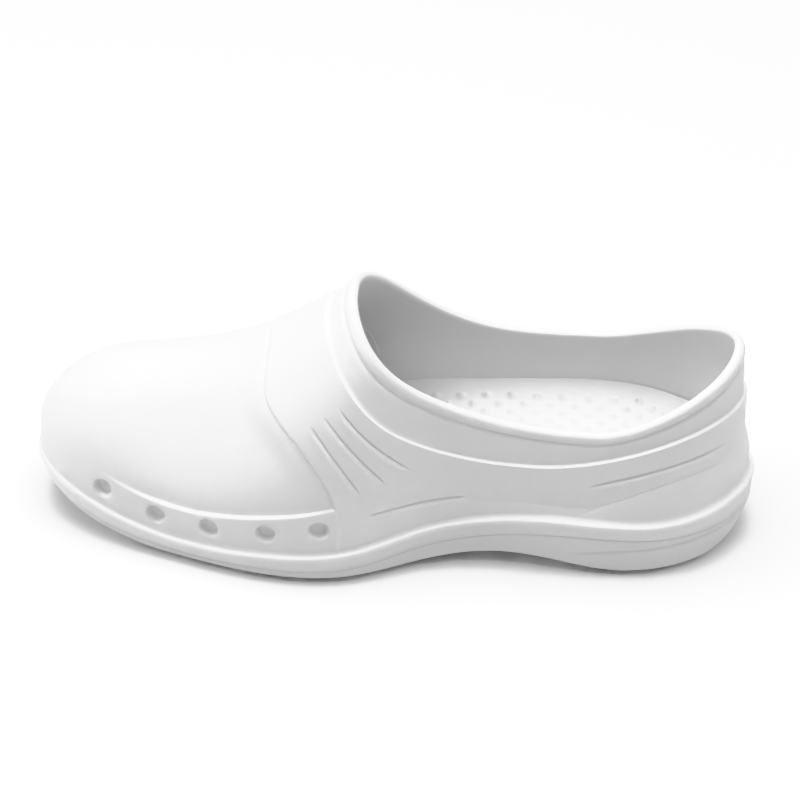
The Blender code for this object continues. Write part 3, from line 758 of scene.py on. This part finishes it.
def shoe_middle():
    """How far the widest points' middle lies to the wearer's left."""
    turns = np.linspace(0.0, math.pi, OUTLINE_SAMPLES)
    return (np.max(outline(1, turns, 0.0)[1]) + np.min(outline(-1, turns, 0.0)[1])) / 2.0


CENTRE = np.array([LENGTH / 2.0, shoe_middle(), -LUG_HEIGHT])


class Skin:
    """Points, faces and point values gathered patch by patch into one mesh."""

    def __init__(self, *value_names):
        self.points = []
        self.faces = []
        self.values = {name: [] for name in value_names}
        self.count = 0

    def add(self, points, faces, **values):
        """Add loose points with faces that count from the first of them."""
        self.points.append(points)
        self.faces += [[int(i) + self.count for i in face] for face in faces]
        for name, gathered in self.values.items():
            gathered.append(np.broadcast_to(values.get(name, 0.0), len(points)).astype(float))
        self.count += len(points)

    def add_grid(self, grid, **values):
        """Add quads over a grid of points."""
        rows, columns = grid.shape[:2]
        index = np.arange(rows * columns).reshape(rows, columns)
        corners = (index[:-1, :-1], index[:-1, 1:], index[1:, 1:], index[1:, :-1])
        faces = np.stack([corner.ravel() for corner in corners], axis=1)
        flat = {name: np.broadcast_to(value, (rows, columns)).ravel() for name, value in values.items()}
        self.add(grid.reshape(-1, 3), faces, **flat)

    def finish(self, name):
        """Weld the patches and hand back the object, facing out."""
        data = bpy.data.meshes.new(name)
        points = (np.concatenate(self.points) - CENTRE) * METRE
        data.from_pydata(points.tolist(), [], self.faces)
        for value_name, gathered in self.values.items():
            layer = data.attributes.new(value_name, "FLOAT", "POINT")
            layer.data.foreach_set("value", np.concatenate(gathered))
        mesh = bmesh.new()
        mesh.from_mesh(data)
        bmesh.ops.remove_doubles(mesh, verts=mesh.verts, dist=MERGE)
        bmesh.ops.recalc_face_normals(mesh, faces=mesh.faces)
        if mesh.calc_volume(signed=True) < 0.0:
            bmesh.ops.reverse_faces(mesh, faces=mesh.faces)
        mesh.to_mesh(data)
        mesh.free()
        data.shade_smooth()
        piece = bpy.data.objects.new(name, data)
        bpy.context.scene.collection.objects.link(piece)
        return piece


def vent_block(side, vent, base):
    """Row and column spans of a vent's patch in the wall's grid, below the vent band's step."""
    turn = turn_at(vent["place"])
    angle = angle_at(turn, ledge_at(turn) + vent["height"])
    gap = np.linalg.norm(base - wall_base(side, turn, angle), axis=-1)
    middle_row, middle_column = np.unravel_index(np.argmin(gap), gap.shape)
    rows = np.flatnonzero(gap[:, middle_column] < VENT_BLOCK)
    columns = np.flatnonzero(gap[middle_row] < VENT_BLOCK)
    return rows[0], rows[-1], columns[0], min(columns[-1], FOOT_COLUMNS)


def round_the_block(block):
    """Row and column of each point round a block's edge, in order."""
    top, bottom, left, right = block
    loop = [(top, j) for j in range(left, right)]
    loop += [(i, right) for i in range(top, bottom)]
    loop += [(bottom, j) for j in range(right, left, -1)]
    loop += [(i, left) for i in range(bottom, top, -1)]
    return loop


def vent_rings(side, vent, edge_points):
    """Turn, angle and depth of the points on a vent's rings, one for each point of its edge."""
    turn = turn_at(vent["place"])
    angle = angle_at(turn, ledge_at(turn) + vent["height"])
    centre = wall_base(side, turn, angle)
    per_turn = (wall_base(side, turn + TURN_STEP, angle) - centre) / TURN_STEP
    per_angle = (wall_base(side, turn, angle + TURN_STEP) - centre) / TURN_STEP
    along = unit(per_turn)
    up = unit(per_angle - (per_angle @ along) * along)
    off = edge_points - centre
    seen = np.unwrap(np.arctan2(off @ up, off @ along))
    way_round = np.sign(seen[-1] - seen[0])
    bearing = way_round * np.linspace(0.0, 2.0 * math.pi, len(seen), endpoint=False)
    bearing += np.mean(seen - bearing)
    rings = []
    for ring in named_rows(VENT_PROFILE, VENT_PROFILE_COLUMNS):
        climb = ring["radius"] * np.sin(bearing) + ring["lift"]
        angles = climb / (per_angle @ up)
        turns = (ring["radius"] * np.cos(bearing) - angles * (per_angle @ along)) / (per_turn @ along)
        rings.append((turn + turns, angle + angles, np.full(len(bearing), ring["depth"])))
    return rings


def refined_wall(side):
    """Points and faces of the outer wall, cut small at the grooves, with the vents let in."""
    turn, angle = wall_grid(ALL_ROWS)
    rows, columns = turn.shape
    base = wall_base(side, turn, angle)
    mesh = bmesh.new()
    layers = [mesh.verts.layers.float.new(name) for name in ("turn", "angle", "depth")]

    def new_vert(*values):
        vert = mesh.verts.new()
        for layer, value in zip(layers, values):
            vert[layer] = value
        return vert

    verts = [[new_vert(turn[i, j], angle[i, j], 0.0) for j in range(columns)] for i in range(rows)]
    centres = (base[:-1, :-1] + base[1:, 1:]) / 2.0
    near = groove_relief(side, centres.reshape(-1, 3))[1].reshape(centres.shape[:2])
    vents = named_rows(VENTS, VENT_COLUMNS)
    blocks = [vent_block(side, vent, base) for vent in vents]
    blocked = np.zeros(centres.shape[:2], bool)
    for top, bottom, left, right in blocks:
        blocked[top:bottom, left:right] = True
    fine = []
    for i, j in np.argwhere(~blocked):
        face = mesh.faces.new((verts[i][j], verts[i][j + 1], verts[i + 1][j + 1], verts[i + 1][j]))
        if near[i, j]:
            fine.append(face)
    for vent, block in zip(vents, blocks):
        loop = round_the_block(block)
        outer = [verts[i][j] for i, j in loop]
        for ring in vent_rings(side, vent, np.array([base[i, j] for i, j in loop])):
            inner = [new_vert(*values) for values in zip(*ring)]
            for i in range(len(loop)):
                after = (i + 1) % len(loop)
                mesh.faces.new((outer[i], outer[after], inner[after], inner[i]))
            outer = inner
        mesh.faces.new(outer)
    edges = list({edge for face in fine for edge in face.edges})
    bmesh.ops.subdivide_edges(mesh, edges=edges, cuts=REFINE_CUTS, use_grid_fill=True)
    used = [vert for vert in mesh.verts if vert.link_faces]
    index = {vert: i for i, vert in enumerate(used)}
    turns, angles, depth = (np.array([vert[layer] for vert in used]) for layer in layers)
    faces = [tuple(index[vert] for vert in face.verts) for face in mesh.faces]
    mesh.free()
    return wall_point(side, turns, angles, relief(side, turns, angles) - depth), faces


def ledge_grid(side):
    """The ledge from the seam over its lip to the foot of the wall."""
    foot = ALL_ROWS.foot[:, 0]
    tuck = SEAM_TUCK - SOLE_SWELL * heel_share(foot) ** SWELL_FADE
    rings = [np.stack([*outline(side, foot, tuck), seam_at(foot)], axis=-1)]
    for ring in named_rows(LEDGE_PROFILE, LEDGE_COLUMNS):
        height = ledge_at(foot) + ring["rise"]
        rings.append(np.stack([*outline(side, foot, ring["inset"]), height], axis=-1))
    angle = angle_at(foot, ledge_at(foot) + WALL_FOOT)
    turn = on_row(ALL_ROWS, angle[:, None])[:, 0]
    rings.append(wall_point(side, turn, angle, relief(side, turn, angle)))
    return finer(np.array(rings), LEDGE_FINE).transpose(1, 0, 2)


def rim_grid(side):
    """The rim from the saddle's edge over the bead and down inside."""
    share = np.linspace(0.0, 1.0, OPENING_ROWS + 1)
    collar_turn, collar_angle = edge_at(COLLAR, share)
    saddle_turn, saddle_angle = edge_at(SADDLE, share)
    run = wall_base(side, saddle_turn, saddle_angle) - wall_base(side, collar_turn, collar_angle)
    length = np.linalg.norm(run, axis=1)
    rings = []
    for ring in named_rows(RIM, RIM_COLUMNS):
        down = ring["share"] + ring["drop"] / length
        turn = collar_turn + (saddle_turn - collar_turn) * down
        angle = np.minimum(collar_angle + (saddle_angle - collar_angle) * down, CROWN_ANGLE)
        base = wall_base(side, turn, angle)
        points = wall_point(side, turn, angle, ring["out"] + heel_swell(turn, base[:, 2]))
        points[:, 1] -= COLLAR_SHIFT * np.clip(1.0 - down, 0.0, 1.0)
        rings.append(points)
    return finer(np.array(rings), RIM_FINE).transpose(1, 0, 2)


def inner_grid(side):
    """The inner wall from the rim, or the crown, down to the bed."""
    row = ALL_ROWS
    foot = row.foot
    bed = bed_at(foot)
    low_angle = angle_at(foot, np.maximum(bed, ledge_at(foot)) + INNER_FOOT)
    low_angle = np.minimum(low_angle, INNER_LOW * row.head_angle)
    angle = np.linspace(row.head_angle, low_angle, INNER_COLUMNS)[..., 0].T
    turn = on_row(row, angle)
    swell = heel_swell(turn, wall_base(side, turn, angle)[..., 2])
    walls = wall_point(side, turn, angle, swell - WALL)
    inset = LEDGE_LIP + COUNTER_FLARE * heel_share(foot) + WALL
    edge = np.stack([*outline(side, foot, inset), bed], axis=-1)
    return np.concatenate([walls, edge], axis=1)


def across(left, right, strips):
    """A grid of points on straight lines from each left point to its right one."""
    share = np.linspace(0.0, 1.0, strips + 1)[:, None]
    return left[:, None] + (right - left)[:, None] * share


def build_upper():
    """The moulded upper: outer wall, ledge, rim, inner wall, bed and underside."""
    skin = Skin("along", "below_ledge")
    ledges = {side: ledge_grid(side) for side in SIDES}
    inners = {side: inner_grid(side) for side in SIDES}
    for side in SIDES:
        skin.add(*refined_wall(side))
        ledge = ledges[side]
        lip = ledge[:, LIP_RING * LEDGE_FINE]
        steps = np.linalg.norm(np.diff(lip, axis=0), axis=1)
        along = np.concatenate([[0.0], np.cumsum(steps)]) * side
        drop = np.maximum(lip[:, None, 2] - ledge[..., 2], 0.0)
        skin.add_grid(ledge, along=along[:, None], below_ledge=drop)
        skin.add_grid(rim_grid(side))
        skin.add_grid(inners[side])
    skin.add_grid(across(ledges[1][:, 0], ledges[-1][:, 0], BED_STRIPS))
    skin.add_grid(across(inners[1][:, -1], inners[-1][:, -1], BED_STRIPS))
    return skin.finish("moulded_upper")


def sole_side(side):
    """The outsole's side with the fine line round the heel, its border and the lugs' edge."""
    turn = ALL_ROWS.foot
    x = place_at(turn)
    top = seam_at(turn) - SEAM_GAP
    swell = SOLE_SWELL * heel_share(turn) ** SWELL_FADE
    tuck = tuck_at(turn)
    edge = outline(side, turn, tuck + TREAD_CHAMFER)
    bottom = tread_at(edge[0])
    share = np.linspace(0.0, 1.0, SOLE_COLUMNS)
    z = top + (bottom + TREAD_CHAMFER - top) * share
    rib = table_at(HEEL_RIB, RIB_COLUMNS, "height", x)
    rib = np.clip(rib, bottom + 2.0 * TREAD_CHAMFER, top - 2.0 * RIB_WIDTH)
    line = RIB_DEPTH * smooth((RIB_END - x) / RIB_FADE) * np.exp(-((z - rib) / RIB_WIDTH) ** 2)
    seam_tuck = SEAM_TUCK - swell
    inset = seam_tuck + (tuck - seam_tuck) * share + line
    walls = np.stack([*outline(side, np.broadcast_to(turn, z.shape), inset), z], axis=-1)
    lug_head = outline(side, turn, tuck + TREAD_BORDER)
    lug_foot = outline(side, turn, tuck + TREAD_BORDER + LUG_SLOPE)
    foot = np.stack([*edge, bottom], axis=-1)
    head = np.stack([*lug_head, tread_at(lug_head[0])], axis=-1)
    tread = np.stack([*lug_foot, tread_at(lug_foot[0]) - LUG_HEIGHT], axis=-1)
    return np.concatenate([walls, foot, head, tread], axis=1)


def channel_bars():
    """One mesh of all the bars that cut the channels between the lugs."""
    mesh = bmesh.new()
    inset = TREAD_BORDER - BAR_OVERHANG
    for channels in named_rows(CHANNELS, CHANNEL_COLUMNS):
        for i in range(channels["count"]):
            start = channels["start"] + CHANNEL_PITCH * i
            ends = turn_at(np.array([start, start + CHANNEL_WIDTH]))
            left = np.min(outline(1, ends, tuck_at(ends) + inset)[1])
            right = np.max(outline(-1, ends, tuck_at(ends) + inset)[1])
            bar = bmesh.ops.create_cube(mesh, size=METRE)["verts"]
            size = (CHANNEL_WIDTH, left - right, 2.0 * channels["depth"])
            bmesh.ops.scale(mesh, verts=bar, vec=size)
            middle = np.array([start + CHANNEL_WIDTH / 2.0, (left + right) / 2.0, -LUG_HEIGHT])
            bmesh.ops.translate(mesh, verts=bar, vec=(middle - CENTRE) * METRE)
    data = bpy.data.meshes.new("channel_bars")
    mesh.to_mesh(data)
    mesh.free()
    bars = bpy.data.objects.new("channel_bars", data)
    bpy.context.scene.collection.objects.link(bars)
    return bars


def build_outsole():
    """The outsole with its tread channels cut."""
    skin = Skin()
    sides = {side: sole_side(side) for side in SIDES}
    for grid in sides.values():
        skin.add_grid(grid)
    for level in (0, -1):
        skin.add_grid(across(sides[1][:, level], sides[-1][:, level], BED_STRIPS))
    piece = skin.finish("moulded_outsole")
    bars = channel_bars()
    boolean = piece.modifiers.new("channels", "BOOLEAN")
    boolean.operation = "DIFFERENCE"
    boolean.solver = "EXACT"
    boolean.object = bars
    graph = bpy.context.evaluated_depsgraph_get()
    cut = bpy.data.meshes.new_from_object(piece.evaluated_get(graph))
    piece.modifiers.clear()
    piece.data = cut
    bpy.data.objects.remove(bars)
    return piece


def nubs_at(x, y, from_edge):
    """Height of the staggered nubs at points of the insole."""
    row = np.round(y / NUB_ROW)
    shift = NUB_PITCH / 2.0 * np.mod(row, 2.0)
    off_x = x - shift - NUB_PITCH * np.round((x - shift) / NUB_PITCH)
    off_y = y - NUB_ROW * row
    dome = smooth(1.0 - np.hypot(off_x, off_y) / NUB_RADIUS)
    return NUB_HEIGHT * dome * smooth((from_edge - NUB_MARGIN) / NUB_RADIUS)


def build_insole():
    """The loose footbed with its nubs."""
    skin = Skin()
    turn = np.linspace(0.0, math.pi, INSOLE_ROWS + 1)
    inset = LEDGE_LIP + COUNTER_FLARE * heel_share(turn) + WALL + INSOLE_CLEAR
    share = place_at(turn) / LENGTH
    thick, lateral, medial = (
        table_at(INSOLE, INSOLE_COLUMNS, name, share)[:, None] for name in INSOLE_COLUMNS[1:]
    )
    bed = bed_at(turn) + GAP
    left = np.stack([*outline(1, turn, inset), bed], axis=-1)
    right = np.stack([*outline(-1, turn, inset), bed], axis=-1)
    half = np.linalg.norm(left - right, axis=1)[:, None] / 2.0
    under = across(left, right, INSOLE_STRIPS)
    off_middle = np.linspace(1.0, -1.0, INSOLE_STRIPS + 1)
    rise = smooth((off_middle + 1.0) / 2.0) * (lateral - medial) + medial
    from_edge = half * (1.0 - np.abs(off_middle))
    cup = rise * np.maximum(1.0 - from_edge / CUP_REACH, 0.0) ** 2
    top = under.copy()
    top[..., 2] += thick + cup + nubs_at(under[..., 0], under[..., 1], from_edge)
    skin.add_grid(top)
    skin.add_grid(across(left, right, BED_STRIPS))
    for end, edge in ((0, left), (-1, right)):
        skin.add_grid(np.stack([top[:, end], edge], axis=1))
    return skin.finish("nubbed_footbed")


def add_node(tree, kind, **inputs):
    """A shader node with some of its inputs set or linked."""
    node = tree.nodes.new(kind)
    for name, value in inputs.items():
        socket = node.inputs[name.replace("_", " ")]
        if isinstance(value, bpy.types.NodeSocket):
            tree.links.new(value, socket)
        else:
            socket.default_value = value
    return node


def read_value(tree, name):
    """A value that the mesh carries at its points."""
    node = tree.nodes.new("ShaderNodeAttribute")
    node.attribute_name = name
    return node.outputs["Fac"]


def scaled(tree, value, factor):
    """A value times a factor."""
    node = tree.nodes.new("ShaderNodeMath")
    node.operation = "MULTIPLY"
    tree.links.new(value, node.inputs[0])
    node.inputs[1].default_value = factor
    return node.outputs[0]


def mould_streaks(tree):
    """Fine streaks that the mould leaves along the midsole, below the ledge."""
    run = scaled(tree, read_value(tree, "along"), 1.0 / STREAK_LENGTH)
    drop = read_value(tree, "below_ledge")
    fall = scaled(tree, drop, 1.0 / STREAK_WIDTH)
    place = add_node(tree, "ShaderNodeCombineXYZ", X=run, Y=fall).outputs["Vector"]
    streaks = add_node(tree, "ShaderNodeTexNoise", Vector=place, Scale=1.0, Detail=FINE_DETAIL)
    below = add_node(tree, "ShaderNodeMapRange", Value=drop)
    below.inputs["From Min"].default_value = STREAK_FROM
    below.inputs["From Max"].default_value = STREAK_FROM + STREAK_WIDTH
    bump = add_node(tree, "ShaderNodeBump", Height=streaks.outputs["Fac"])
    bump.inputs["Distance"].default_value = STREAK_DEPTH * METRE
    tree.links.new(below.outputs["Result"], bump.inputs["Strength"])
    return bump.outputs["Normal"]


def foam(name, grey, roughness, streaked):
    """White moulded foam: faint mottle, fine grain and a soft unevenness of the mould."""
    made = bpy.data.materials.new(name)
    made.use_nodes = True
    tree = made.node_tree
    shader = tree.nodes["Principled BSDF"]
    place = tree.nodes.new("ShaderNodeTexCoord").outputs["Object"]
    mottle = add_node(tree, "ShaderNodeTexNoise", Vector=place, Scale=MOTTLE_SCALE, Detail=MOTTLE_DETAIL)
    tint = tree.nodes.new("ShaderNodeMix")
    tint.data_type = "RGBA"
    shade = MOTTLE_SHADE * grey
    tint.inputs["A"].default_value = (shade, shade, shade, 1.0)
    tint.inputs["B"].default_value = (grey, grey, grey, 1.0)
    tree.links.new(mottle.outputs["Fac"], tint.inputs["Factor"])
    tree.links.new(tint.outputs["Result"], shader.inputs["Base Color"])
    sheen = add_node(tree, "ShaderNodeMapRange", Value=mottle.outputs["Fac"])
    sheen.inputs["To Min"].default_value = roughness - MOTTLE_GLOSS
    sheen.inputs["To Max"].default_value = roughness + MOTTLE_GLOSS
    tree.links.new(sheen.outputs["Result"], shader.inputs["Roughness"])
    peel = add_node(tree, "ShaderNodeTexNoise", Vector=place, Scale=PEEL_SCALE, Detail=FINE_DETAIL)
    uneven = add_node(tree, "ShaderNodeBump", Height=peel.outputs["Fac"], Strength=PEEL_STRENGTH)
    uneven.inputs["Distance"].default_value = PEEL_DEPTH * METRE
    if streaked:
        tree.links.new(mould_streaks(tree), uneven.inputs["Normal"])
    grain = add_node(tree, "ShaderNodeTexNoise", Vector=place, Scale=GRAIN_SCALE, Detail=FINE_DETAIL)
    fine = add_node(tree, "ShaderNodeBump", Height=grain.outputs["Fac"], Strength=GRAIN_STRENGTH)
    fine.inputs["Distance"].default_value = GRAIN_DEPTH * METRE
    tree.links.new(uneven.outputs["Normal"], fine.inputs["Normal"])
    tree.links.new(fine.outputs["Normal"], shader.inputs["Normal"])
    return made


def dress(piece, node, look):
    """Let a piece stand for a node, with its material."""
    piece.data.materials.clear()
    piece.data.materials.append(look)
    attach(piece, "root")
    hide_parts(node)


def build_floor():
    """A plain pale floor."""
    mesh = bmesh.new()
    bmesh.ops.create_grid(mesh, x_segments=1, y_segments=1, size=FLOOR_SIZE / 2.0)
    data = bpy.data.meshes.new("floor")
    mesh.to_mesh(data)
    mesh.free()
    look = bpy.data.materials.new("floor")
    look.use_nodes = True
    shader = look.node_tree.nodes["Principled BSDF"]
    shader.inputs["Base Color"].default_value = FLOOR_COLOUR
    shader.inputs["Roughness"].default_value = FLOOR_ROUGHNESS
    shader.inputs["Specular IOR Level"].default_value = FLOOR_GLOSS
    data.materials.append(look)
    floor = bpy.data.objects.new("floor", data)
    floor.location = (0.0, 0.0, -FLOOR_DROP)
    bpy.context.scene.collection.objects.link(floor)


def build_lights():
    """A pale sky and the soft boxes."""
    world = bpy.data.worlds.new("studio")
    world.use_nodes = True
    sky = world.node_tree.nodes["Background"]
    sky.inputs["Color"].default_value = SKY_COLOUR
    sky.inputs["Strength"].default_value = SKY_STRENGTH
    bpy.context.scene.world = world
    for box in named_rows(BOXES, BOX_COLUMNS):
        lamp = bpy.data.lights.new(box["name"], "AREA")
        lamp.shape = "SQUARE"
        lamp.size = box["size"]
        lamp.energy = box["power"]
        stand = bpy.data.objects.new(box["name"], lamp)
        stand.location = box["place"]
        stand.rotation_euler = (-stand.location).to_track_quat("-Z", "Y").to_euler()
        bpy.context.scene.collection.objects.link(stand)


def build_camera():
    """The camera at the photograph's angle."""
    elevation = math.radians(CAMERA_ELEVATION)
    yaw = math.radians(CAMERA_YAW)
    level = math.cos(elevation)
    back = Vector((-math.sin(yaw) * level, math.cos(yaw) * level, math.sin(elevation)))
    lens = bpy.data.cameras.new("camera")
    lens.lens = CAMERA_LENS
    lens.sensor_width = CAMERA_SENSOR
    lens.shift_x, lens.shift_y = CAMERA_SHIFT
    camera = bpy.data.objects.new("camera", lens)
    target = Vector((np.array(CAMERA_TARGET) - CENTRE) * METRE)
    camera.location = target + back * CAMERA_DISTANCE * METRE
    camera.rotation_euler = (-back).to_track_quat("-Z", "Y").to_euler()
    bpy.context.scene.collection.objects.link(camera)
    bpy.context.scene.camera = camera


def set_tones():
    """Show the picture through the camera's tone curve."""
    view = bpy.context.scene.view_settings
    view.view_transform = "Standard"
    view.use_curve_mapping = True
    mapping = view.curve_mapping
    mapping.extend = "HORIZONTAL"
    points = mapping.curves[COMBINED_CURVE].points
    first, *between, last = named_rows(TONES, TONE_COLUMNS)
    points[0].location = (first["light"], first["shown"])
    points[1].location = (last["light"], last["shown"])
    for tone in between:
        points.new(tone["light"], tone["shown"])
    for point in points:
        point.handle_type = "AUTO_CLAMPED"
    mapping.update()


upper_look, sole_look, shade_painted_bed_look = (foam(**row) for row in named_rows(FOAMS, FOAM_COLUMNS))
dress(build_upper(), "upper_with_midsole", upper_look)
dress(build_outsole(), "outsole", sole_look)
# The footbed's darker grey is painted shade for the inside of the shoe.
dress(build_insole(), "insole", shade_painted_bed_look)
build_floor()
build_lights()
build_camera()
set_tones()
